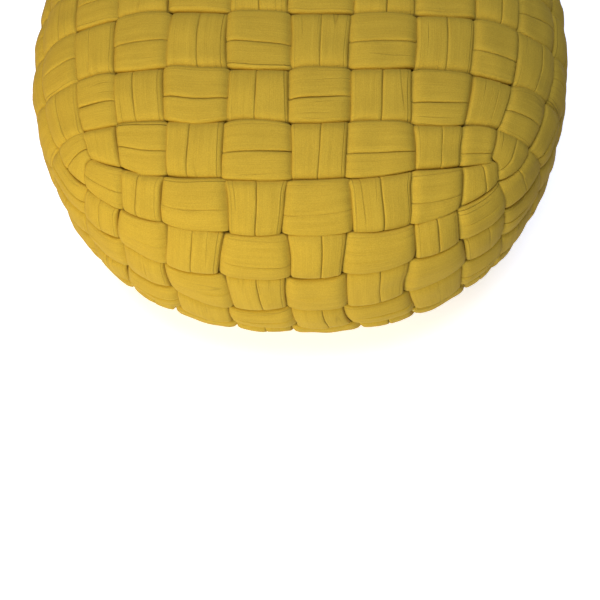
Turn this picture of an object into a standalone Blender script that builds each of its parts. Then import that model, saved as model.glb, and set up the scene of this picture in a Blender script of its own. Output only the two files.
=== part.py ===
# Woven footstool: a squat, filled pouf covered by a basket weave of wide strips.
# Each strip is a pair of stuffed jersey tubes and closes on itself. Three families of strips cross:
# long strips run front to back, cross strips run side to side, and girth strips run round the sides.
# A place on the pouf is counted in cells: columns from the left, rows from the front, girths from the top.

import bmesh
import bpy
import numpy as np

# Outer size, over the tops of the strips, in metres
HALF_WIDTH = 0.270
HALF_DEPTH = 0.280
RISE = 0.139  # from the widest girth up to the seat
DROP = 0.180  # from the widest girth down to the underside
PRESS = 0.004  # how much of the underside the floor presses flat

# Roundness of the body, as superellipse exponents: 2 is an ellipse, more is squarer
PLAN_ROUNDNESS = 2.34
SEAT_ROUNDNESS = 2.7
BASE_ROUNDNESS = 3.2

# Number of strips in each family, and how much wider the cells are at the middle than at the ends
COLUMNS, COLUMN_EVENING = 8, -0.21
ROWS, ROW_EVENING = 8, -0.26
GIRTHS, GIRTH_EVENING = 5, 0.02
RIM_SLOPE = 0.472  # height over reach of the line on which the seat meets the sides
RIM_SPREAD = 0.32  # how far the cells of the rim spread towards its four corners
CORNER_SPREAD = 0.07  # the same for the upright edges

# One strip, with its shares taken of the cell that it crosses
STRIP_THICKNESS = 0.0155
STRIP_LIFT = 0.0084  # how far its middle rises over, and dips under, the middle of the weave
STRIP_HALF_SHARE = 0.475
TUBE_TOP_SHARE = 0.28
SEAM_DEPTH = 0.003  # dip between its two tubes
LEVEL_HALF_SHARE = 0.27  # half of its level run over or under another strip

CUSHION_CLEARANCE = 0.004
CUSHION_CELLS = 8

CROWN = STRIP_LIFT + STRIP_THICKNESS / 2  # top of the weave above its middle

STRIP_COLOUR = (0.52, 0.35, 0.035, 1.0)
CUSHION_COLOUR = (0.10, 0.065, 0.012, 1.0)


def clear_scene():
    for thing in list(bpy.data.objects):
        bpy.data.objects.remove(thing, do_unlink=True)


def make_material(name, colour, roughness):
    material = bpy.data.materials.new(name)
    material.use_nodes = True
    shader = material.node_tree.nodes["Principled BSDF"]
    shader.inputs["Base Color"].default_value = colour
    shader.inputs["Roughness"].default_value = roughness
    shader.inputs["Metallic"].default_value = 0.0
    material.diffuse_color = colour
    return material


def spread(cells, count, evening):
    """Cells counted along a side, as -1 to 1, with the middle cells wider or narrower than the end ones."""
    side = 2 * cells / count - 1
    return side * (1 + evening * (1 - side**2))


def body_place(across, along, down, depth):
    """Points of the body: the cube of cells is blown up to a superellipsoid, and each point sinks by depth."""
    x = spread(across, COLUMNS, COLUMN_EVENING)
    y = spread(along, ROWS, ROW_EVENING)
    z = -spread(down, GIRTHS, GIRTH_EVENING)
    ray_x = x * (1 + RIM_SPREAD * y**2 * z**2 * (1 - x**2))
    ray_y = y * (1 + RIM_SPREAD * x**2 * z**2 * (1 - y**2))
    ray_z = z * (1 + CORNER_SPREAD * x**2 * y**2 * (1 - z**2)) * RIM_SLOPE
    tall = np.where(ray_z > 0, RISE, DROP)
    power = np.where(ray_z > 0, SEAT_ROUNDNESS, BASE_ROUNDNESS)

    flat = (np.abs(ray_x / HALF_WIDTH) ** PLAN_ROUNDNESS + np.abs(ray_y / HALF_DEPTH) ** PLAN_ROUNDNESS)
    plan = flat ** (1 / PLAN_ROUNDNESS)
    reach = (plan**power + np.abs(ray_z / tall) ** power) ** (-1 / power)
    plan = plan * reach
    point = np.stack([ray_x * reach, ray_y * reach, ray_z * reach], axis=-1)

    # The normal is the gradient of the superellipsoid's equation
    side = plan ** (power - PLAN_ROUNDNESS)
    normal = np.stack([
        side * np.abs(point[..., 0] / HALF_WIDTH) ** (PLAN_ROUNDNESS - 1) * np.sign(ray_x) / HALF_WIDTH,
        side * np.abs(point[..., 1] / HALF_DEPTH) ** (PLAN_ROUNDNESS - 1) * np.sign(ray_y) / HALF_DEPTH,
        np.abs(point[..., 2] / tall) ** (power - 1) * np.sign(ray_z) / tall,
    ], axis=-1)
    normal /= np.linalg.norm(normal, axis=-1, keepdims=True)

    point = point - normal * np.asarray(depth)[..., None]
    point[..., 2] = np.maximum(point[..., 2] + DROP - PRESS, 0.0)
    return point


def round_the_cells(walk, first_count, second_count):
    """A walk round a rectangle of cells: out along its first side, then along the second, and back."""
    walk = np.mod(walk, 2 * (first_count + second_count))
    first = np.clip(walk, 0, first_count) - np.clip(walk - first_count - second_count, 0, first_count)
    second = np.clip(walk - first_count, 0, second_count)
    second = second - np.clip(walk - 2 * first_count - second_count, 0, second_count)
    return first, second


def strip_stations(first_count, second_count):
    """Where a strip has a section, and whether it is over (1), under (-1) or between (0) there."""
    crossings = 2 * (first_count + second_count)
    bends = (0, first_count, first_count + second_count, 2 * first_count + second_count)
    stations = [(bend, 0.0) for bend in bends]
    for crossing in range(crossings):
        over = 1.0 if crossing % 2 == 0 else -1.0
        for end in (-LEVEL_HALF_SHARE, LEVEL_HALF_SHARE):
            stations.append((crossing + 0.5 + end, over))
    return np.array(sorted(stations)).T


def strip_section():
    """The section of a pair of tubes: sideways share of the cell, and height over the strip's middle."""
    half = STRIP_THICKNESS / 2
    section = (
        (-STRIP_HALF_SHARE, 0.0),
        (-TUBE_TOP_SHARE, half),
        (0.0, half - SEAM_DEPTH),
        (TUBE_TOP_SHARE, half),
        (STRIP_HALF_SHARE, 0.0),
        (0.0, -half),
    )
    return np.array(section).T


def make_mesh_object(name, points, faces, material, collection):
    mesh = bpy.data.meshes.new(name)
    mesh.from_pydata(points.tolist(), [], faces)
    builder = bmesh.new()
    builder.from_mesh(mesh)
    bmesh.ops.recalc_face_normals(builder, faces=builder.faces)
    builder.to_mesh(mesh)
    builder.free()
    mesh.materials.append(material)
    thing = bpy.data.objects.new(name, mesh)
    collection.objects.link(thing)
    return thing


def make_strip(name, family, number, starts_over, material, collection):
    """A closed loft of the tube pair along its family's walk, over one crossing strip and under the next."""
    first_count, second_count = {
        "long": (ROWS, GIRTHS),
        "cross": (COLUMNS, GIRTHS),
        "girth": (COLUMNS, ROWS),
    }[family]
    walk, over = strip_stations(first_count, second_count)
    sideways, height = strip_section()
    first, second = round_the_cells(walk, first_count, second_count)
    lane = np.broadcast_to(number + 0.5 + sideways, (len(walk), len(sideways)))
    first = np.broadcast_to(first[:, None], lane.shape)
    second = np.broadcast_to(second[:, None], lane.shape)
    side = 1.0 if starts_over else -1.0
    depth = CROWN - side * over[:, None] * STRIP_LIFT - height

    if family == "long":
        points = body_place(lane, first, second, depth)
    elif family == "cross":
        points = body_place(first, lane, second, depth)
    else:
        points = body_place(first, second, lane, depth)

    rings, corners = lane.shape
    faces = []
    for ring in range(rings):
        following = (ring + 1) % rings
        for corner in range(corners):
            beside = (corner + 1) % corners
            faces.append((
                ring * corners + corner,
                ring * corners + beside,
                following * corners + beside,
                following * corners + corner,
            ))
    return make_mesh_object(name, points.reshape(-1, 3), faces, material, collection)


def make_cushion(material, collection):
    """The filled inner body: a cube of cells, blown up until it lies just under the weave."""
    mesh = bpy.data.meshes.new("InnerCushion")
    builder = bmesh.new()
    bmesh.ops.create_cube(builder, size=1.0)
    bmesh.ops.subdivide_edges(builder, edges=builder.edges, cuts=CUSHION_CELLS - 1, use_grid_fill=True)
    builder.to_mesh(mesh)
    builder.free()

    corners = np.array([vertex.co for vertex in mesh.vertices]) + 0.5
    across, along, down = corners.T * np.array([[COLUMNS], [ROWS], [GIRTHS]])
    depth = np.full(len(corners), 2 * CROWN + CUSHION_CLEARANCE)
    points = body_place(across, along, GIRTHS - down, depth)
    mesh.vertices.foreach_set("co", points.ravel())
    mesh.update()
    mesh.materials.append(material)
    thing = bpy.data.objects.new("InnerCushion", mesh)
    collection.objects.link(thing)
    return thing


def main():
    clear_scene()
    collection = bpy.data.collections.new("WovenFootstool")
    bpy.context.scene.collection.children.link(collection)
    jersey = make_material("Jersey", STRIP_COLOUR, 0.9)
    ground = make_material("GroundCloth", CUSHION_COLOUR, 0.95)

    make_cushion(ground, collection)
    # At the seat's front left corner a long strip lies on a cross strip, and under the top girth strip
    families = (("StripLong", "long", COLUMNS, 0), ("StripCross", "cross", ROWS, 1), ("StripGirth", "girth", GIRTHS, 0))
    for label, family, count, shift in families:
        for number in range(count):
            starts_over = (number + shift) % 2 == 0
            make_strip(f"{label}_{number + 1}", family, number, starts_over, jersey, collection)


main()
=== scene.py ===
# Woven footstool, the finished look: paired jersey tubes woven over a filled body, on a plain pale floor.
# A place on the body is counted in cells: columns from the left, rows from the front, girths from the top.
import math

import bpy
import numpy as np
from mathutils import Matrix, Vector


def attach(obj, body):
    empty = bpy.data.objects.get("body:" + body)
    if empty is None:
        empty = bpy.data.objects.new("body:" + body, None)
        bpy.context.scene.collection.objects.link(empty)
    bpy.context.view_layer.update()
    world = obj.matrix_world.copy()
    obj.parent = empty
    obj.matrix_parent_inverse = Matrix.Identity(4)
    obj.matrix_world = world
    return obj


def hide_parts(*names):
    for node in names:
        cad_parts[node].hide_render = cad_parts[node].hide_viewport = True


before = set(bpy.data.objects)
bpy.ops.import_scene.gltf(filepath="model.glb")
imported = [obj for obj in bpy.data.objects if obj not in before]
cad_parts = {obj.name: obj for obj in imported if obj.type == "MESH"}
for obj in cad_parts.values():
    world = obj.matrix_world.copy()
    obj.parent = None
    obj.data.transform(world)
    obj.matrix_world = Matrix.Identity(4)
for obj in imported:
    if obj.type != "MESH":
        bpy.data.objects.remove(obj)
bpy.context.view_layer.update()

print("frame loaded with", len(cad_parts), "nodes")

body = {
    "halfWidth": 0.270,  # metres, over the tops of the strips
    "halfDepth": 0.280,
    "rise": 0.139,  # of the seat over the widest level
    "drop": 0.180,  # of the base under it
    "press": 0.004,  # pressed flat by the floor
    "pressSoftness": 0.0008,
    "planRoundness": 2.34,  # powers of the superellipsoid: 2 is round, and more is squarer
    "seatRoundness": 2.7,
    "baseRoundness": 3.2,
    "columns": 8,
    "rows": 8,
    "girths": 5,
    "columnEvening": -0.21,  # above 0 the middle cells are the wider ones, and below 0 the end ones
    "rowEvening": -0.26,
    "girthEvening": 0.02,
    "rimSlope": 0.472,  # the height of the box of cells as a share of its width
    "rimSpread": 0.32,  # how far the cells along a rim are pushed towards its ends
    "cornerSpread": 0.07,  # and those along an upright corner
}


def spreadCells(cells, count, evening):
    # cells counted along a side become -1 to 1, as side * (1 + evening * (1 - side^2))
    side = 2 * cells / count - 1
    return side * (1 + evening * (1 - side ** 2))


def evenPlace(across, along, down, depth):
    # the box of cells, blown up to a superellipsoid: the ray from the middle meets it where
    # (|x / halfWidth|^plan + |y / halfDepth|^plan)^(power / plan) + |z / tall|^power = 1. The point then
    # sinks along the normal by its depth
    x = spreadCells(across, body["columns"], body["columnEvening"])
    y = spreadCells(along, body["rows"], body["rowEvening"])
    z = -spreadCells(down, body["girths"], body["girthEvening"])
    rayX = x * (1 + body["rimSpread"] * y ** 2 * z ** 2 * (1 - x ** 2))
    rayY = y * (1 + body["rimSpread"] * x ** 2 * z ** 2 * (1 - y ** 2))
    rayZ = z * (1 + body["cornerSpread"] * x ** 2 * y ** 2 * (1 - z ** 2)) * body["rimSlope"]
    plan = body["planRoundness"]
    tall = np.where(rayZ > 0, body["rise"], body["drop"])
    power = np.where(rayZ > 0, body["seatRoundness"], body["baseRoundness"])
    flat = np.abs(rayX / body["halfWidth"]) ** plan + np.abs(rayY / body["halfDepth"]) ** plan
    flat = flat ** (1 / plan)
    reach = (flat ** power + np.abs(rayZ / tall) ** power) ** (-1 / power)
    flat = flat * reach
    point = np.stack([rayX * reach, rayY * reach, rayZ * reach], axis=-1)
    # the normal is the slope of the superellipsoid's equation
    side = flat ** (power - plan)
    normal = np.stack([
        side * np.abs(point[..., 0] / body["halfWidth"]) ** (plan - 1) * np.sign(rayX) / body["halfWidth"],
        side * np.abs(point[..., 1] / body["halfDepth"]) ** (plan - 1) * np.sign(rayY) / body["halfDepth"],
        np.abs(point[..., 2] / tall) ** (power - 1) * np.sign(rayZ) / tall,
    ], axis=-1)
    normal /= np.linalg.norm(normal, axis=-1, keepdims=True)
    point = point - normal * depth[..., None]
    # the floor: a smooth form of the larger of the height and 0
    height = point[..., 2] + body["drop"] - body["press"]
    point[..., 2] = (height + np.sqrt(height ** 2 + body["pressSoftness"] ** 2)) / 2
    return point


view = {
    "focalPixels": 1100,  # in the photo's 600 pixels
    "framePixels": 600,
    "sensorMillimetres": 36.0,
    "elevation": 49.3,
    "azimuth": 5.43,
    "distance": 1.178,
    "tilt": -12.17,  # aims below the footstool, which the frame's top edge cuts
    "pan": -0.95,
    "roll": -4.29,
}


def turnPair(first, second, degrees):
    # two directions turned in their own plane, the first towards the second
    turn = math.radians(degrees)
    return first * math.cos(turn) + second * math.sin(turn), second * math.cos(turn) - first * math.sin(turn)


def cameraAxes():
    # aimed at the body's middle from its elevation and azimuth, then tilted, panned and rolled
    up, turn = math.radians(view["elevation"]), math.radians(view["azimuth"])
    back = np.array([math.sin(turn) * math.cos(up), -math.cos(turn) * math.cos(up), math.sin(up)])
    centre = np.array([0, 0, body["drop"] - body["press"]])
    place = centre + back * view["distance"]
    forward = -back
    right = np.cross(forward, [0, 0, 1])
    right /= np.linalg.norm(right)
    upward = np.cross(right, forward)
    forward, upward = turnPair(forward, upward, view["tilt"])
    forward, right = turnPair(forward, right, view["pan"])
    right, upward = turnPair(right, upward, view["roll"])
    return place, right, upward, forward


def seenAt(points):
    # where the camera sees the points, in the photo's pixels from its left and from its top
    place, right, upward, forward = cameraAxes()
    away = points - place
    scale = view["focalPixels"] / (away @ forward)
    aside = np.stack([away @ right, -(away @ upward)], axis=-1)
    return view["framePixels"] / 2 + aside * scale[..., None]


seenCorners = {
    # where the corners between the blocks are in the photo, in its pixels from the left and from the top,
    # measured on crops. For each line up from the front edge: its first seen column, and the corners
    # from there to the right
    3: (0, ((77, 32.5), (118, 20), (169.7, 12.4), (229, 13.4), (289, 13.4), (351.7, 14.3), (415.8, 16.3),
            (474, 19), (517, 33.5))),
    2: (0, ((77.8, 83.2), (115, 73), (165, 68.3), (228, 69), (290, 70), (349, 69.5), (413, 69),
            (471.3, 74.6), (511.5, 85))),
    1: (0, ((84.5, 132), (117, 125.5), (165.8, 121.5), (226, 121.5), (289, 122.5), (348.5, 122.5),
            (412, 124), (463, 125.3), (497, 131))),
    0: (0, ((91, 167), (121.8, 168.4), (165.8, 176), (223.5, 179.5), (291, 180), (346.5, 178.5),
            (415, 170), (460, 167), (492, 168))),
    -1: (0, ((89.3, 187), (121.9, 208.7), (164, 222), (227, 232.3), (284.4, 233.5), (349.8, 232.3),
             (412, 223.7), (458, 207.4), (496.6, 181.5))),
    -2: (0, ((87, 214), (121.2, 238.4), (166.2, 263.3), (221.2, 273.2), (289, 277), (344.4, 273.5),
             (412.3, 258.7), (460.1, 239.6), (503.7, 207.7))),
    -3: (2, ((173.9, 286.2), (231, 308), (289, 306), (345, 305), (406, 291), (464.4, 261.3))),
}

unevenness = {
    "cornerDepth": 0.0055,  # metres that the seen corners lie under the tops of the strips
    "holdBack": 2,  # pixels a cell, weighed against the corner's miss in pixels
    "most": 0.22,  # cells, and the slides are rounded to hundredths
    "lowestLine": -4,  # where the slides have gone on the front, and where on the seat
    "highestLine": 5,
    "carriedLines": ((-3, -2), (4, 3)),  # an unseen corner of the first takes its slide from the second
    "carriedShare": 0.6,
    "steps": 30,
    "slopeStep": 1e-6,
    "fadeGirth": 4.5,  # girths down where the slide has gone
    "fadeInward": 1.8,  # cells into a side panel where the upward slide has gone
    "shareSoftness": 0.02,  # cells, keeps the share of the rows from jumping at the rim's corners
}


def shareSlide(across, along, down, sideways, upwards):
    # an upward slide goes up the girths on the front and inwards over the rows on the seat
    soft = unevenness["shareSoftness"]
    rowShare = (along + soft) / (along + down + 2 * soft)
    return across + sideways, along + upwards * rowShare, down - upwards * (1 - rowShare)


def findSlides():
    # how far, sideways and upwards in cells, each corner of an even weave slides to where the photo shows it:
    # least squares of its miss in pixels and of holdBack times the slide, in steps down the slopes
    seen = [(first + step, line, *place) for line, (first, places) in seenCorners.items()
            for step, place in enumerate(places)]
    column, line, pixelX, pixelY = np.array(seen).T
    target = np.stack([pixelX, pixelY], axis=-1)
    along, down = np.maximum(line, 0), np.maximum(-line, 0)
    depth = np.full(len(seen), unevenness["cornerDepth"])

    def missOf(slide):
        cells = shareSlide(column, along, down, slide[:, 0], slide[:, 1])
        return seenAt(evenPlace(*cells, depth)) - target

    slide = np.zeros((len(seen), 2))
    tiny, hold = unevenness["slopeStep"], unevenness["holdBack"] ** 2
    for _ in range(unevenness["steps"]):
        miss = missOf(slide)
        slopes = np.stack([(missOf(slide + tiny * way) - miss) / tiny for way in np.eye(2)], axis=-1)
        turned = slopes.transpose(0, 2, 1)
        pull = turned @ miss[..., None] + hold * slide[..., None]
        slide = slide - np.linalg.solve(turned @ slopes + hold * np.eye(2), pull)[..., 0]

    lowest = unevenness["lowestLine"]
    table = np.full((unevenness["highestLine"] - lowest + 1, body["columns"] + 1, 2), np.nan)
    table[line.astype(int) - lowest, column.astype(int)] = slide
    for unseen, beside in unevenness["carriedLines"]:
        carried = unevenness["carriedShare"] * table[beside - lowest]
        table[unseen - lowest] = np.where(np.isnan(table[unseen - lowest]), carried, table[unseen - lowest])
    return np.round(np.clip(np.nan_to_num(table), -unevenness["most"], unevenness["most"]), 2)


cornerSlides = findSlides()
print("weave set out from", sum(len(places) for _, places in seenCorners.values()), "seen corners")


def slideCells(across, along, down):
    # between the corners the slide is blended straight, first sideways and then upwards, and it fades to the
    # unseen sides
    height = len(cornerSlides) - 1
    column = np.clip(across, 0, body["columns"])
    line = np.clip(along - down - unevenness["lowestLine"], 0, height)
    left = np.minimum(column.astype(int), body["columns"] - 1)
    low = np.minimum(line.astype(int), height - 1)
    u, v = (column - left)[..., None], (line - low)[..., None]
    lower = cornerSlides[low, left] * (1 - u) + cornerSlides[low, left + 1] * u
    upper = cornerSlides[low + 1, left] * (1 - u) + cornerSlides[low + 1, left + 1] * u
    slides = (lower * (1 - v) + upper * v) * np.clip(unevenness["fadeGirth"] - down, 0, 1)[..., None]
    inward = np.minimum(along, down)
    sideways = slides[..., 0] * (1 - np.clip(inward, 0, 1))
    upwards = slides[..., 1] * (1 - np.clip(inward / unevenness["fadeInward"], 0, 1))
    return shareSlide(across, along, down, sideways, upwards)


def bodyPlace(across, along, down, depth):
    # a place in cells on the uneven weave
    return evenPlace(*slideCells(across, along, down), depth)


def roundTheCells(walk, firstCount, secondCount):
    # a walk round a rectangle of cells: out along its first side, along the second, and back
    walk = np.mod(walk, 2 * (firstCount + secondCount))
    first = np.clip(walk, 0, firstCount) - np.clip(walk - firstCount - secondCount, 0, firstCount)
    second = np.clip(walk - firstCount, 0, secondCount)
    second = second - np.clip(walk - 2 * firstCount - secondCount, 0, secondCount)
    return first, second


def waver(walk, period, finest, chance):
    # a smooth random wave that closes on itself: cosines of one to finest turns per period, of size about 1
    turns = np.arange(1, finest + 1)
    phase = chance.uniform(0, 2 * np.pi, finest)
    weight = chance.normal(0, 1, finest) * math.sqrt(2 / finest)
    return (weight * np.cos(2 * np.pi * walk[..., None] * turns / period + phase)).sum(axis=-1)


def addObject(name, data):
    thing = bpy.data.objects.new(name, data)
    bpy.context.scene.collection.objects.link(thing)
    return thing


def makeSurfaceObject(name, points, quads, uv, material, values):
    # points is (n, 3), quads is (m, 4), uv has one pair for each corner of each quad, and values has named
    # numbers, one a point, for the material
    edgeA = points[quads[:, 1]] - points[quads[:, 0]]
    edgeB = points[quads[:, 3]] - points[quads[:, 0]]
    volume = (np.cross(edgeA, edgeB) * points[quads[:, 0]]).sum()
    if volume < 0:
        quads = quads[:, ::-1]
        uv = uv[:, ::-1]
    mesh = bpy.data.meshes.new(name)
    mesh.vertices.add(len(points))
    mesh.vertices.foreach_set("co", points.astype(np.float32).ravel())
    mesh.loops.add(quads.size)
    mesh.loops.foreach_set("vertex_index", quads.astype(np.int32).ravel())
    mesh.polygons.add(len(quads))
    mesh.polygons.foreach_set("loop_start", np.arange(0, quads.size, 4, dtype=np.int32))
    mesh.polygons.foreach_set("use_smooth", np.ones(len(quads), dtype=bool))
    layer = mesh.uv_layers.new(name="Cloth")
    layer.data.foreach_set("uv", np.ascontiguousarray(uv, dtype=np.float32).ravel())
    for key, value in values.items():
        layer = mesh.attributes.new(key, "FLOAT", "POINT")
        layer.data.foreach_set("value", value.astype(np.float32).ravel())
    mesh.update(calc_edges=True)
    mesh.validate()
    mesh.materials.append(material)
    return addObject(name, mesh)


def closedGridQuads(rings, corners):
    # quads of a grid that closes on itself both ways
    ring = np.arange(rings)[:, None]
    corner = np.arange(corners)[None, :]
    nextRing = (ring + 1) % rings
    nextCorner = (corner + 1) % corners
    quads = np.stack([
        ring * corners + corner,
        ring * corners + nextCorner,
        nextRing * corners + nextCorner,
        nextRing * corners + corner,
    ], axis=-1)
    return quads.reshape(-1, 4)


def closedGridUv(alongMetres, acrossMetres):
    # alongMetres has one more value than there are rings, and acrossMetres one more than there are corners
    ring = np.arange(len(alongMetres) - 1)[:, None]
    corner = np.arange(len(acrossMetres) - 1)[None, :]
    ringPair = np.stack([ring, ring, ring + 1, ring + 1], axis=-1) + 0 * corner[..., None]
    cornerPair = np.stack([corner, corner + 1, corner + 1, corner], axis=-1) + 0 * ring[..., None]
    uv = np.stack([alongMetres[ringPair], acrossMetres[cornerPair]], axis=-1)
    return uv.reshape(-1, 4, 2)


def addNode(tree, kind, **settings):
    node = tree.nodes.new(kind)
    for key, value in settings.items():
        setattr(node, key, value)
    return node


def layOutNodes(tree, perRow=8, stepAcross=220, stepDown=320):
    # in the order they were made, a few to a row
    for index, node in enumerate(tree.nodes):
        node.location = (index % perRow * stepAcross, index // perRow * -stepDown)


def startMaterial(name, roughness):
    material = bpy.data.materials.new(name)
    material.use_nodes = True
    shader = material.node_tree.nodes["Principled BSDF"]
    shader.inputs["Roughness"].default_value = roughness
    return material, material.node_tree, shader


jerseyCloth = {
    "lightColour": (0.498, 0.320, 0.0265, 1.0),
    "deepColour": (0.380, 0.235, 0.0180, 1.0),
    # the dark brown of the painted shade in the folds, the crease and the seams
    "paintedShadeColour": (0.120, 0.068, 0.006, 1.0),
    "roughness": 0.92,
    "specular": 0.15,
    "grainPerMetre": 1000.0,
    "grainShare": 0.55,  # what the grain, the streaks, the clouds and the bands add to the light yarn
    "streakShare": 0.25,
    "cloudShare": 0.25,
    "bandShare": 0.9,
    "yarnRange": (0.30, 0.70),  # of the noise, from all deep yarn to all light yarn
    "cloudsPerMetre": 30.0,
    "streaksAcross": 900.0,  # a metre, fine lines of stretched knit along the tube
    "streaksAlong": 26.0,
    "bandsAcross": 170.0,  # wider and softer bands of the same
    "bandsAlong": 10.0,
    "foldsAcross": 55.0,
    "foldsAlong": 3.2,
    "foldWidth": 0.016,
    "foldPlaces": (14.0, 22.0, 1.0),  # a metre along and across, where the folds show at all
    "foldPlaceRange": (0.53, 0.70),
    "foldShadeTint": 0.40,
    "foldShare": 0.65,  # of the tuck lines' painted shade
    "tuckAt": 0.0243,  # metres from the crease, a line along the tube's edge
    "tuckBends": (9.0, 1.0, 1.0),  # a metre, the line's wandering
    "tuckWander": 0.006,
    "tuckWidth": 0.0007,
    # the painted shade along the crease between the tubes: its width and its strength
    "creaseWidth": 0.0007,
    "creaseShadeTint": 0.50,
    "gapFrom": 0.36,  # shares of the way down from the crown to the weave's middle surface, over which the painted shade in the seams comes in
    "gapTo": 0.54,
    "gapShadeTint": 0.62,
    "gapShadePatches": 16.0,  # a metre, patches where the painted seam shade is stronger or weaker
    "gapShadePatchRange": (0.35, 0.60),
    "gapLeast": 0.45,
    "grainBump": 0.00012,
    "streakBump": 0.00020,
    "foldBump": 0.00045,
}


def makeJersey():
    cloth = jerseyCloth
    material, tree, shader = startMaterial("MustardJersey", cloth["roughness"])
    link = tree.links.new
    shader.inputs["Specular IOR Level"].default_value = cloth["specular"]

    def put(socket, value):
        if isinstance(value, (int, float, tuple)):
            socket.default_value = value
        else:
            link(value, socket)

    def work(kind, first, second=0.0, third=0.0):
        node = addNode(tree, "ShaderNodeMath", operation=kind)
        for socket, value in zip(node.inputs, (first, second, third)):
            put(socket, value)
        return node.outputs[0]

    def ramp(value, low, high, atLow=0.0, atHigh=1.0):
        node = addNode(tree, "ShaderNodeMapRange", interpolation_type="SMOOTHSTEP")
        ends = {"Value": value, "From Min": low, "From Max": high, "To Min": atLow, "To Max": atHigh}
        for key, what in ends.items():
            put(node.inputs[key], what)
        return node.outputs["Result"]

    def lineAt(value, centre, width):
        # 1 where the value is at the centre, falling to 0 at the width on both sides of it
        return ramp(work("ABSOLUTE", work("SUBTRACT", value, centre)), 0.0, width, 1.0, 0.0)

    def noise(vector, scale, detail, stretch=None):
        if stretch:
            mapping = addNode(tree, "ShaderNodeMapping")
            mapping.inputs["Scale"].default_value = stretch
            link(vector, mapping.inputs["Vector"])
            vector = mapping.outputs["Vector"]
        node = addNode(tree, "ShaderNodeTexNoise")
        node.inputs["Scale"].default_value = scale
        node.inputs["Detail"].default_value = detail
        link(vector, node.inputs["Vector"])
        return node.outputs["Fac"]

    def attribute(name):
        return addNode(tree, "ShaderNodeAttribute", attribute_name=name).outputs["Fac"]

    def blend(factor, first, second):
        node = addNode(tree, "ShaderNodeMix", data_type="RGBA")
        put(node.inputs["Factor"], factor)
        put(node.inputs["A"], first)
        put(node.inputs["B"], second)
        return node.outputs["Result"]

    place = addNode(tree, "ShaderNodeTexCoord").outputs
    clothPlace = place["UV"]
    across = addNode(tree, "ShaderNodeSeparateXYZ")
    link(clothPlace, across.inputs[0])
    fromCrease = work("ABSOLUTE", across.outputs["Y"])

    grain = noise(place["Object"], cloth["grainPerMetre"], 2.0)
    cloud = noise(place["Object"], cloth["cloudsPerMetre"], 3.0)
    streak = noise(clothPlace, 1.0, 3.0, (cloth["streaksAlong"], cloth["streaksAcross"], 1.0))
    band = noise(clothPlace, 1.0, 2.0, (cloth["bandsAlong"], cloth["bandsAcross"], 1.0))

    # a few long folds, the ridge lines of a stretched noise, and a line along the edge of some tubes
    fold = noise(clothPlace, 1.0, 0.0, (cloth["foldsAlong"], cloth["foldsAcross"], 1.0))
    foldLine = lineAt(fold, 0.5, cloth["foldWidth"])
    where = noise(clothPlace, 1.0, 1.0, cloth["foldPlaces"])
    foldShown = work("MULTIPLY", foldLine, ramp(where, *cloth["foldPlaceRange"]))
    bend = noise(clothPlace, 1.0, 0.0, cloth["tuckBends"])
    bend = work("MULTIPLY_ADD", bend, cloth["tuckWander"], cloth["tuckAt"] - cloth["tuckWander"] / 2)
    tuckLine = lineAt(fromCrease, bend, cloth["tuckWidth"])
    tuckShown = work("MULTIPLY", tuckLine, attribute("EdgeShown"))
    folds = work("MAXIMUM", work("MULTIPLY", foldShown, cloth["foldShare"]), tuckShown)

    # the colour: a melange of two yarns, with painted shade in the folds, the crease and the seams between
    # the strips
    streaked = work("MULTIPLY", ramp(streak, *cloth["yarnRange"]), cloth["streakShare"])
    mixed = work("MULTIPLY_ADD", ramp(grain, *cloth["yarnRange"]), cloth["grainShare"], streaked)
    mixed = work("MULTIPLY_ADD", cloud, cloth["cloudShare"], mixed)
    mixed = work("MULTIPLY_ADD", work("SUBTRACT", band, 0.5), cloth["bandShare"], mixed)
    colour = blend(mixed, cloth["deepColour"], cloth["lightColour"])
    # painted shade in the fold and tuck lines, which also dent the relief below
    colour = blend(work("MULTIPLY", folds, cloth["foldShadeTint"]), colour, cloth["paintedShadeColour"])
    # painted shade in the crease between the two tubes of a strip
    creaseShadeLine = ramp(fromCrease, 0.0, cloth["creaseWidth"], cloth["creaseShadeTint"], 0.0)
    creaseShadeLine = work("MULTIPLY", creaseShadeLine, attribute("CreaseShown"))
    # painted shade in the seams between the strips: darker where the surface lies deeper under the crown,
    # stronger or weaker in random patches
    gapShade = ramp(attribute("Sunk"), cloth["gapFrom"], cloth["gapTo"], 0.0, cloth["gapShadeTint"])
    shadePatches = noise(place["Object"], cloth["gapShadePatches"], 1.0)
    seamShadeStrength = ramp(shadePatches, *cloth["gapShadePatchRange"], cloth["gapLeast"], 1.0)
    gapShade = work("MULTIPLY", gapShade, seamShadeStrength)
    colour = blend(work("MAXIMUM", creaseShadeLine, gapShade), colour, cloth["paintedShadeColour"])
    link(colour, shader.inputs["Base Color"])

    # relief: grain, then knit lines, then folds
    normal = None
    for height, key in ((grain, "grainBump"), (streak, "streakBump"), (folds, "foldBump")):
        bump = addNode(tree, "ShaderNodeBump", invert=key == "foldBump")
        bump.inputs["Distance"].default_value = cloth[key]
        link(height, bump.inputs["Height"])
        if normal:
            link(normal, bump.inputs["Normal"])
        normal = bump.outputs["Normal"]
    link(normal, shader.inputs["Normal"])
    layOutNodes(tree)
    return material


# the inner cushion's cloth, darkened far below the jersey's yarn as painted shade for the holes between the
# strips
shadedGroundCloth = {
    "shadedThreadColour": (0.260, 0.160, 0.022, 1.0),
    "shadedGapColour": (0.160, 0.098, 0.014, 1.0),
    "threadsPerMetre": 700.0,
    "threadBump": 0.0003,
    "roughness": 0.95,
}


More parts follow.
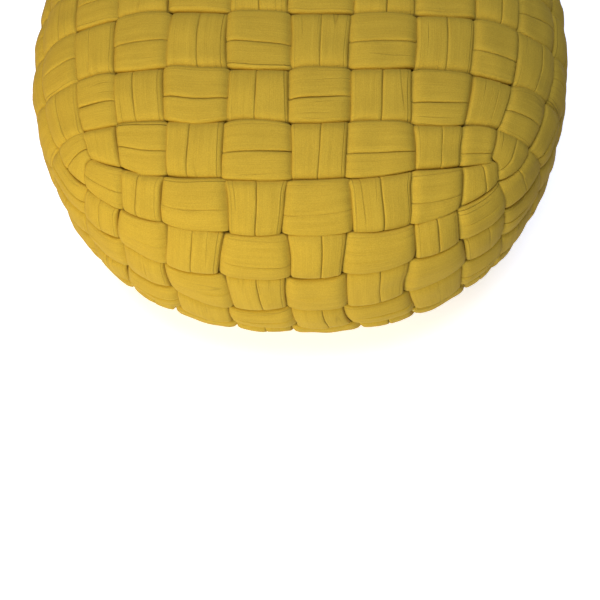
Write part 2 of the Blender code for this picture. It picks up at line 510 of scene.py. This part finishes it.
def makeGroundCloth():
    cloth = shadedGroundCloth
    material, tree, shader = startMaterial("GroundCloth", cloth["roughness"])
    link = tree.links.new
    place = addNode(tree, "ShaderNodeTexCoord")
    weave = addNode(tree, "ShaderNodeTexNoise")
    weave.inputs["Scale"].default_value = cloth["threadsPerMetre"]
    link(place.outputs["Object"], weave.inputs["Vector"])
    blend = addNode(tree, "ShaderNodeMix", data_type="RGBA")
    blend.inputs["A"].default_value = cloth["shadedGapColour"]
    blend.inputs["B"].default_value = cloth["shadedThreadColour"]
    link(weave.outputs["Fac"], blend.inputs["Factor"])
    link(blend.outputs["Result"], shader.inputs["Base Color"])
    relief = addNode(tree, "ShaderNodeBump")
    relief.inputs["Distance"].default_value = cloth["threadBump"]
    link(weave.outputs["Fac"], relief.inputs["Height"])
    link(relief.outputs["Normal"], shader.inputs["Normal"])
    layOutNodes(tree)
    return material


strips = {
    # for each family: its label, what its walk goes round, what its lanes are, 0 or 1 for whether the even or
    # the odd lanes start over, its half share of the lane in mid block and at the block's ends, and how much
    # longer it stays over than under
    "families": (
        ("StripLong", ("rows", "girths"), "columns", 0, 0.480, 0.487, 0.00),
        ("StripCross", ("columns", "girths"), "rows", 1, 0.535, 0.498, 0.135),
        ("StripGirth", ("columns", "rows"), "girths", 0, 0.505, 0.501, 0.23),
    ),
    "sideLonger": 0.20,  # added for the lengthwise strips on the front and the back
    "sideNarrower": 0.033,  # taken off their half share of the lane there
    "narrowerRise": 4,  # how fast: all of it is off a quarter of a cell past the rim
    "sag": 0.035,  # of the girths between the crossings, in cells
    "firstSagShare": 0.5,  # of it that widens the first girth, so that only its lower edge sags
    "thickness": 0.0158,  # metres, where it is over
    "lift": 0.0035,  # how far its middle rises over and sinks under
    "sideLift": 0.0018,  # added to it on the sides, where the weave bulges more
    "flatten": 0.52,  # thinner where it is held under
    "waveFullness": 15.0,  # 0 is a plain cosine, more is flatter over the top
    "sideFullness": 7.0,  # the same on the sides
    "cornerRoundness": 0.8,  # of a block: 1 is a barrel, and less is straighter with rounder corners
    "stepsPerCell": 14,
    "tubeSegments": 18,
    "underSegments": 8,
    "outerRoundness": 12.0,  # powers of a tube's section, on its outer side and then in the crease
    "outerSquareness": 0.42,
    "creaseRoundness": 15.0,
    "creaseSquareness": 0.45,
    "creaseShare": 0.34,  # the crease's depth as a share of the half thickness
    "tubeCrown": 0.05,  # how much each tube is higher in its middle
    "pairCrown": 0.11,  # and the pair of them
    "sideCrown": 0.27,  # added to it on the sides
    "underShare": 0.25,  # the under side's bulge
    "underFullness": 0.7,
    # where the photo doesn't show the block: the middle and the spread of what the table of seen blocks gives
    "unseen": {"place": (0, 0.085), "shown": (0.65, 0.3), "lowEdge": (0.25, 0.3), "highEdge": (0.25, 0.3)},
    "seenReach": 0.65,  # cells from its middle to where a seen block's values end
    "mostShown": 2,  # of the crease
    "mostEdge": 1.6,  # of the lines along the edges
    "laneWander": 0.009,
    "widthWander": 0.010,
    "lumps": 0.0004,  # metres, of the filling
    "lumpParting": 4,  # how sharply one tube's lumps end at the crease
    "metresPerCell": 0.057,
    "clothPerLane": 3.7,  # metres, so that no two strips show the same stretch of the cloth's pattern
    "clothPerFamily": 40,
    "seed": 41,
}


seenBlocks = {
    # (column, line up from the front edge): where the crease between the tubes runs, in hundredths of a cell
    # to the right of the middle or above it, at the block's left or lower end and at its other end; how much
    # the crease shows at those ends, in tenths; and how much a line along the left or lower edge shows, and
    # one along the other edge, in tenths too
    (0, 2): (-6, -6, 3, 3, 0, 6), (1, 2): (-7, -4, 8, 8, 0, 3),
    (2, 2): (2, 2, 6, 6, 0, 9), (3, 2): (-6, -12, 10, 10, 15, 0),
    (4, 2): (1, 1, 5, 5, 3, 6), (5, 2): (-6, -5, 8, 8, 0, 2),
    (6, 2): (3, 0, 7, 7, 2, 7), (7, 2): (-9, -11, 7, 7, 3, 0),
    (0, 1): (-2, -3, 14, 7, 0, 0), (1, 1): (-5, -8, 6, 6, 0, 6),
    (2, 1): (-7, -10, 10, 10, 2, 3), (3, 1): (-5, -3, 8, 8, 4, 8),
    (4, 1): (-9, -5, 16, 7, 0, 2), (5, 1): (-1, 2, 9, 9, 3, 8),
    (6, 1): (-11, -7, 12, 5, 0, 3), (7, 1): (11, 11, 1, 1, 1, 0),
    (0, 0): (0, 0, 0, 0, 0, 0), (1, 0): (3, -2, 7, 7, 0, 15),
    (2, 0): (-11, -7, 7, 7, 1, 8), (3, 0): (-2, 2, 7, 18, 0, 3),
    (4, 0): (-2, 3, 7, 7, 3, 7), (5, 0): (-5, -8, 8, 8, 0, 1),
    (6, 0): (2, 4, 4, 4, 4, 7), (7, 0): (-14, -19, 5, 5, 2, 0),
    (0, -1): (-3, -8, 4, 4, 0, 2), (1, -1): (-9, -2, 7, 7, 1, 5),
    (2, -1): (-12, -9, 3, 3, 2, 9), (3, -1): (1, 2, 8, 8, 5, 8),
    (4, -1): (-15, -9, 2, 2, 0, 2), (5, -1): (2, -2, 9, 9, 6, 6),
    (6, -1): (-12, -15, 3, 3, 4, 2), (7, -1): (8, -4, 7, 7, 0, 0),
    (0, -2): (10, 5, 4, 4, 0, 6), (1, -2): (0, 0, 0, 0, 0, 0),
    (2, -2): (1, -2, 6, 6, 0, 8), (3, -2): (-8, -16, 3, 4, 0, 4),
    (4, -2): (9, 7, 8, 8, 2, 7), (5, -2): (-10, -8, 0, 0, 0, 3),
    (6, -2): (-1, -2, 10, 10, 5, 5), (7, -2): (0, 0, 1, 1, 0, 12),
    (0, -3): (0, 0, 0, 0, 0, 0), (1, -3): (5, 5, 1, 1, 0, 6),
    (2, -3): (0, 0, 0, 0, 0, 0), (3, -3): (6, 2, 8, 8, 2, 8),
    (4, -3): (0, 0, 0, 0, 0, 0), (5, -3): (7, 2, 6, 6, 1, 4),
    (6, -3): (0, 0, 0, 0, 0, 0), (7, -3): (5, 2, 3, 3, 5, 0),
    (2, -4): (0, 0, 1, 1, 0, 0), (4, -4): (9, 9, 7, 7, 0, 0), (6, -4): (0, 0, 1, 1, 0, 0),
}


def lookAlong(label, number, walk, crossings, over, half, chance):
    # the crease's place as a share of the half width, how much it shows, and how much the lines along the two
    # edges show: random where the photo doesn't show the block, and in a seen block blended from end to end
    look = {}
    for key, (base, size) in strips["unseen"].items():
        look[key] = base + size * waver(walk, crossings, crossings // 3, chance)
    for (column, line), seen in seenBlocks.items():
        if label == "StripLong":
            here, cell, sign = column == number, line % crossings, 1
        elif label == "StripCross":
            here, cell, sign = line == number, column, 1
        else:
            here, cell, sign = -1 - line == number, column, -1
        lengthwise = (column + line) % 2 == 0
        if not here or lengthwise != (label == "StripLong"):
            continue
        share = walk - cell
        # the seen values hold where the strip is over, and fade out as it dives under
        near = (np.abs(share - 0.5) < strips["seenReach"]) * np.clip(2 * over + 1, 0, 1)
        start, end, shownStart, shownEnd, left, right = seen
        low, high = (left, right) if sign > 0 else (right, left)
        there = {
            "place": sign * (start + (end - start) * share) / 100 / half,
            "shown": (shownStart + (shownEnd - shownStart) * share.clip(0, 1) ** 2) / 10,
            "lowEdge": low / 10,
            "highEdge": high / 10,
        }
        for key, value in there.items():
            look[key] = look[key] + (value - look[key]) * near
    return look


def tubePairSection():
    # one outline round both tubes: over the right tube, down the crease, over the left tube, and back below.
    # x = fixed + creasePull * crease, and height = high + dip * depth of the crease
    turn = np.linspace(0, np.pi, strips["tubeSegments"] + 1)
    swing = np.cos(turn)
    outer = swing >= 0
    roundness = np.where(outer, strips["outerRoundness"], strips["creaseRoundness"])
    squareness = np.where(outer, strips["outerSquareness"], strips["creaseSquareness"])
    full = (1 - np.abs(swing) ** roundness).clip(0) ** squareness
    full = full * (1 - strips["tubeCrown"] * swing ** 2)
    out = (1 + swing) / 2
    high = np.where(outer, full, 1.0)
    dip = np.where(outer, 0.0, full - 1.0)
    underTurn = np.linspace(0, np.pi, strips["underSegments"] + 1)[1:-1]
    underX = -np.cos(underTurn)
    underHigh = -strips["underShare"] * np.sin(underTurn) ** strips["underFullness"]
    fixed = np.concatenate([out, -out[::-1][1:], underX])
    creasePull = np.concatenate([1 - out, (1 - out)[::-1][1:], 0 * underX])
    high = np.concatenate([high, high[::-1][1:], underHigh])
    dip = np.concatenate([dip, dip[::-1][1:], 0 * underX])
    top = np.concatenate([full, full[::-1][1:], 0 * underX])
    return fixed, creasePull, high, dip, top


def sideShare(down):
    # 1 on the sides, falling to 0 on the seat and underneath
    return np.clip(down, 0, 1) * np.clip(body["girths"] - down, 0, 1)


def makeStrip(name, family, number, material):
    label, walkSides, _, shift, midShare, endShare, longer = family
    firstCount, secondCount = body[walkSides[0]], body[walkSides[1]]
    crossings = 2 * (firstCount + secondCount)
    order = [f[0] for f in strips["families"]].index(label)
    chance = np.random.default_rng([strips["seed"], order, number])
    rings = crossings * strips["stepsPerCell"]
    walk = np.arange(rings) * crossings / rings

    # over and under: a cosine, 1 at an over crossing and -1 at an under one. It is first leaned towards over,
    # swing + longer * (1 - swing^2), and then made fuller, leaning * sqrt((1 + f) / (1 + f * leaning^2))
    first, second = roundTheCells(walk, firstCount, secondCount)
    if label == "StripLong":
        longer = longer + strips["sideLonger"] * sideShare(second)
    swing = np.cos(np.pi * (walk - 0.5)) * (1 if (number + shift) % 2 == 0 else -1)
    onSide = sideShare(number + 0.5 if label == "StripGirth" else second)
    fullness = strips["waveFullness"] + (strips["sideFullness"] - strips["waveFullness"]) * onSide
    leaning = swing + longer * (1 - swing ** 2)
    over = leaning * np.sqrt((1 + fullness) / (1 + fullness * leaning ** 2))

    # the half width bulges or narrows with the swing, and the lane's middle wanders
    half = endShare + (midShare - endShare) * np.sign(swing) * np.abs(swing) ** strips["cornerRoundness"]
    if label == "StripLong":
        half = half - strips["sideNarrower"] * np.clip(strips["narrowerRise"] * sideShare(second), 0, 1)
    half = half * (1 + strips["widthWander"] * waver(walk, crossings, crossings, chance))
    middle = number + 0.5 + strips["laneWander"] * waver(walk, crossings, crossings, chance)
    if label == "StripGirth":
        # the first girth's upper edge lies along the rim, so only its lower edge sags
        firstShare = strips["firstSagShare"] if number == 0 else 0.0
        middle = middle + (1 - firstShare) * strips["sag"] * swing
        half = half + firstShare * strips["sag"] * swing
    look = lookAlong(label, number, walk, crossings, over, half, chance)
    crease, shown = look["place"], np.clip(look["shown"], 0, strips["mostShown"])
    creaseDepth = strips["creaseShare"] * shown
    thick = strips["thickness"] / 2 * (1 - strips["flatten"] * (1 - over) / 2)

    fixed, creasePull, high, dip, top = tubePairSection()
    side = fixed + creasePull * crease[:, None]
    lane = middle[:, None] + half[:, None] * side
    height = thick[:, None] * (high + dip * creaseDepth[:, None])
    # lumps of the filling, apart for each tube
    for tube in (-1, 1):
        share = np.clip(0.5 + tube * (side - crease[:, None]) * strips["lumpParting"], 0, 1) * top
        height = height + share * (strips["lumps"] * waver(walk, crossings, 2 * crossings, chance))[:, None]

    first = np.broadcast_to(first[:, None], lane.shape)
    second = np.broadcast_to(second[:, None], lane.shape)
    crown = strips["lift"] + strips["thickness"] / 2
    onSide = sideShare(lane if label == "StripGirth" else second)
    height = height * (1 - (strips["pairCrown"] + strips["sideCrown"] * onSide) * side ** 2)
    depth = crown - over[:, None] * (strips["lift"] + strips["sideLift"] * onSide) - height
    if label == "StripLong":
        points = bodyPlace(lane, first, second, depth)
    elif label == "StripCross":
        points = bodyPlace(first, lane, second, depth)
    else:
        points = bodyPlace(first, second, lane, depth)

    # the cloth's own metres: along the strip, and across it from the crease, on past the edge below
    alongMetres = np.arange(rings + 1) * strips["metresPerCell"] / strips["stepsPerCell"]
    alongMetres = alongMetres + strips["clothPerLane"] * number + strips["clothPerFamily"] * order
    topCorners = 2 * strips["tubeSegments"] + 1
    below = -2 - fixed[topCorners:]
    acrossMetres = np.concatenate([fixed[:topCorners], below, [-3]]) * strips["metresPerCell"] / 2
    uv = closedGridUv(alongMetres, acrossMetres)
    quads = closedGridQuads(rings, len(fixed))
    edge = np.where(side < crease[:, None], look["lowEdge"][:, None], look["highEdge"][:, None])
    # Sunk sets the painted shade in the seams; CreaseShown the crease's depth and its painted shade;
    # EdgeShown the tuck lines' relief and painted shade
    values = {
        "Sunk": depth / crown,
        "CreaseShown": np.broadcast_to(shown[:, None], lane.shape),
        "EdgeShown": np.clip(edge, 0, strips["mostEdge"]),
    }
    piece = makeSurfaceObject(name, points.reshape(-1, 3), quads, uv, material, values)
    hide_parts(name.replace("Jersey", ""))
    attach(piece, "root")


cushion = {
    "cells": 48,
    "clearance": 0.002,
    "sag": 0.0015,
    "ripples": (40, 37, 31),  # radians over the width, the depth and the height
    "rippleStart": 1,
}


def makeCushion(material):
    # the six faces of the box of cells, each a grid, blown up to lie just under the weave
    count = cushion["cells"]
    grid = np.linspace(0, 1, count + 1)
    u, v = np.meshgrid(grid, grid, indexing="ij")
    zero, one = np.zeros_like(u), np.ones_like(u)
    sides = ((u, v, zero), (u, v, one), (u, zero, v), (u, one, v), (zero, u, v), (one, u, v))
    spots = np.stack([np.stack(side, axis=-1).reshape(-1, 3) for side in sides])
    # corners shared by two faces are made one
    keys = np.round(spots.reshape(-1, 3) * count).astype(int)
    unique, place = np.unique(keys, axis=0, return_inverse=True)
    place = place.reshape(6, count + 1, count + 1)
    quads = np.stack([place[:, :-1, :-1], place[:, 1:, :-1], place[:, 1:, 1:], place[:, :-1, 1:]], axis=-1)
    # and three of the faces are turned, so that all six point the same way
    flip = np.array([True, False, False, True, True, False])
    quads[flip] = quads[flip][..., ::-1]
    quads = quads.reshape(-1, 4)
    across, along, down = (unique / count).T
    waveX, waveY, waveZ = cushion["ripples"]
    ripple = cushion["sag"] * np.sin(across * waveX) * np.sin(along * waveY)
    ripple = ripple * np.sin(down * waveZ + cushion["rippleStart"])
    cells = (across * body["columns"], along * body["rows"], down * body["girths"])
    under = 2 * strips["lift"] + strips["sideLift"] * sideShare(cells[2]) + strips["thickness"]
    points = bodyPlace(*cells, under + cushion["clearance"] + np.abs(ripple))
    uv = unique[quads][..., :2] / count
    piece = makeSurfaceObject("GroundCushion", points, quads, uv, material, {})
    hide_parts("InnerCushion")
    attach(piece, "root")


studio = {
    "floorHalf": 6.0,
    "floorColour": (0.92, 0.92, 0.92, 1.0),
    "floorRoughness": 0.9,
    "floorGlow": 0.29,  # the paper under it is lit through a little
    "floorSeenGlow": 0.36,  # more of it that the eye sees, and that lights nothing
    "skyColour": (0.35, 0.45, 1.0, 1.0),
    "skyStrength": 0.04,
    "backdropColour": (0.72, 0.73, 0.75, 1.0),  # seen past the floor, and lights nothing
    # name, azimuth from the front, elevation, distance, size, power, colour
    "lamps": (
        ("LowLamp", -18, 12, 1.9, 1.0, 18.1, (0.84, 1.0, 1.24)),
        ("SideLamp", -40, 30, 1.9, 1.3, 13.6, (1.28, 0.90, 0.16)),
        ("TopLamp", 3, 85, 2.2, 1.6, 38.0, (0.87, 1.0, 1.50)),
    ),
}


def makeFloor():
    material, tree, shader = startMaterial("PaleFloor", studio["floorRoughness"])
    shader.inputs["Base Color"].default_value = studio["floorColour"]
    shader.inputs["Emission Color"].default_value = studio["floorColour"]
    glow = addNode(tree, "ShaderNodeMath", operation="MULTIPLY_ADD")
    glow.inputs[1].default_value = studio["floorSeenGlow"]
    glow.inputs[2].default_value = studio["floorGlow"]
    tree.links.new(addNode(tree, "ShaderNodeLightPath").outputs["Is Camera Ray"], glow.inputs[0])
    tree.links.new(glow.outputs[0], shader.inputs["Emission Strength"])
    layOutNodes(tree)
    half = studio["floorHalf"]
    corners = [(-half, -half, 0), (half, -half, 0), (half, half, 0), (-half, half, 0)]
    mesh = bpy.data.meshes.new("Floor")
    mesh.from_pydata(corners, [], [(0, 1, 2, 3)])
    mesh.materials.append(material)
    floor = addObject("Floor", mesh)


def makeSky():
    world = bpy.data.worlds.new("Studio")
    world.use_nodes = True
    tree = world.node_tree
    sky = tree.nodes["Background"]
    sky.inputs["Color"].default_value = studio["skyColour"]
    sky.inputs["Strength"].default_value = studio["skyStrength"]
    backdrop = addNode(tree, "ShaderNodeBackground")
    backdrop.inputs["Color"].default_value = studio["backdropColour"]
    both = addNode(tree, "ShaderNodeMixShader")
    tree.links.new(addNode(tree, "ShaderNodeLightPath").outputs["Is Camera Ray"], both.inputs["Fac"])
    tree.links.new(sky.outputs["Background"], both.inputs[1])
    tree.links.new(backdrop.outputs["Background"], both.inputs[2])
    tree.links.new(both.outputs["Shader"], tree.nodes["World Output"].inputs["Surface"])
    layOutNodes(tree)
    bpy.context.scene.world = world


def makeLamps():
    # round discs, each on a sphere about the body's middle and turned to face it
    middle = Vector((0, 0, body["drop"]))
    for name, azimuth, elevation, distance, size, power, colour in studio["lamps"]:
        turn, lift = math.radians(azimuth), math.radians(elevation)
        lamp = bpy.data.lights.new(name, "AREA")
        lamp.shape = "DISK"
        lamp.size = size
        lamp.energy = power
        lamp.color = colour
        thing = addObject(name, lamp)
        away = Vector((math.sin(turn) * math.cos(lift), -math.cos(turn) * math.cos(lift), math.sin(lift)))
        thing.location = middle + distance * away
        thing.rotation_euler = (middle - thing.location).to_track_quat("-Z", "Y").to_euler()


def makeCamera():
    place, right, upward, forward = cameraAxes()
    lens = bpy.data.cameras.new("Camera")
    lens.sensor_width = view["sensorMillimetres"]
    lens.lens = view["focalPixels"] / view["framePixels"] * lens.sensor_width
    camera = addObject("Camera", lens)
    turned = np.stack([right, upward, -forward], axis=1)
    camera.matrix_world = Matrix([[*turned[row], place[row]] for row in range(3)] + [[0, 0, 0, 1]])
    bpy.context.scene.camera = camera


bpy.context.scene.view_settings.view_transform = "Standard"
makeCamera()
print("camera set")

jersey = makeJersey()
for family in strips["families"]:
    for number in range(body[family[2]]):
        makeStrip(f"{family[0]}_{number + 1}Jersey", family, number, jersey)
    print(family[0], "strips woven")

makeCushion(makeGroundCloth())
print("inner cushion made")

makeFloor()
makeSky()
makeLamps()
print("studio lit")
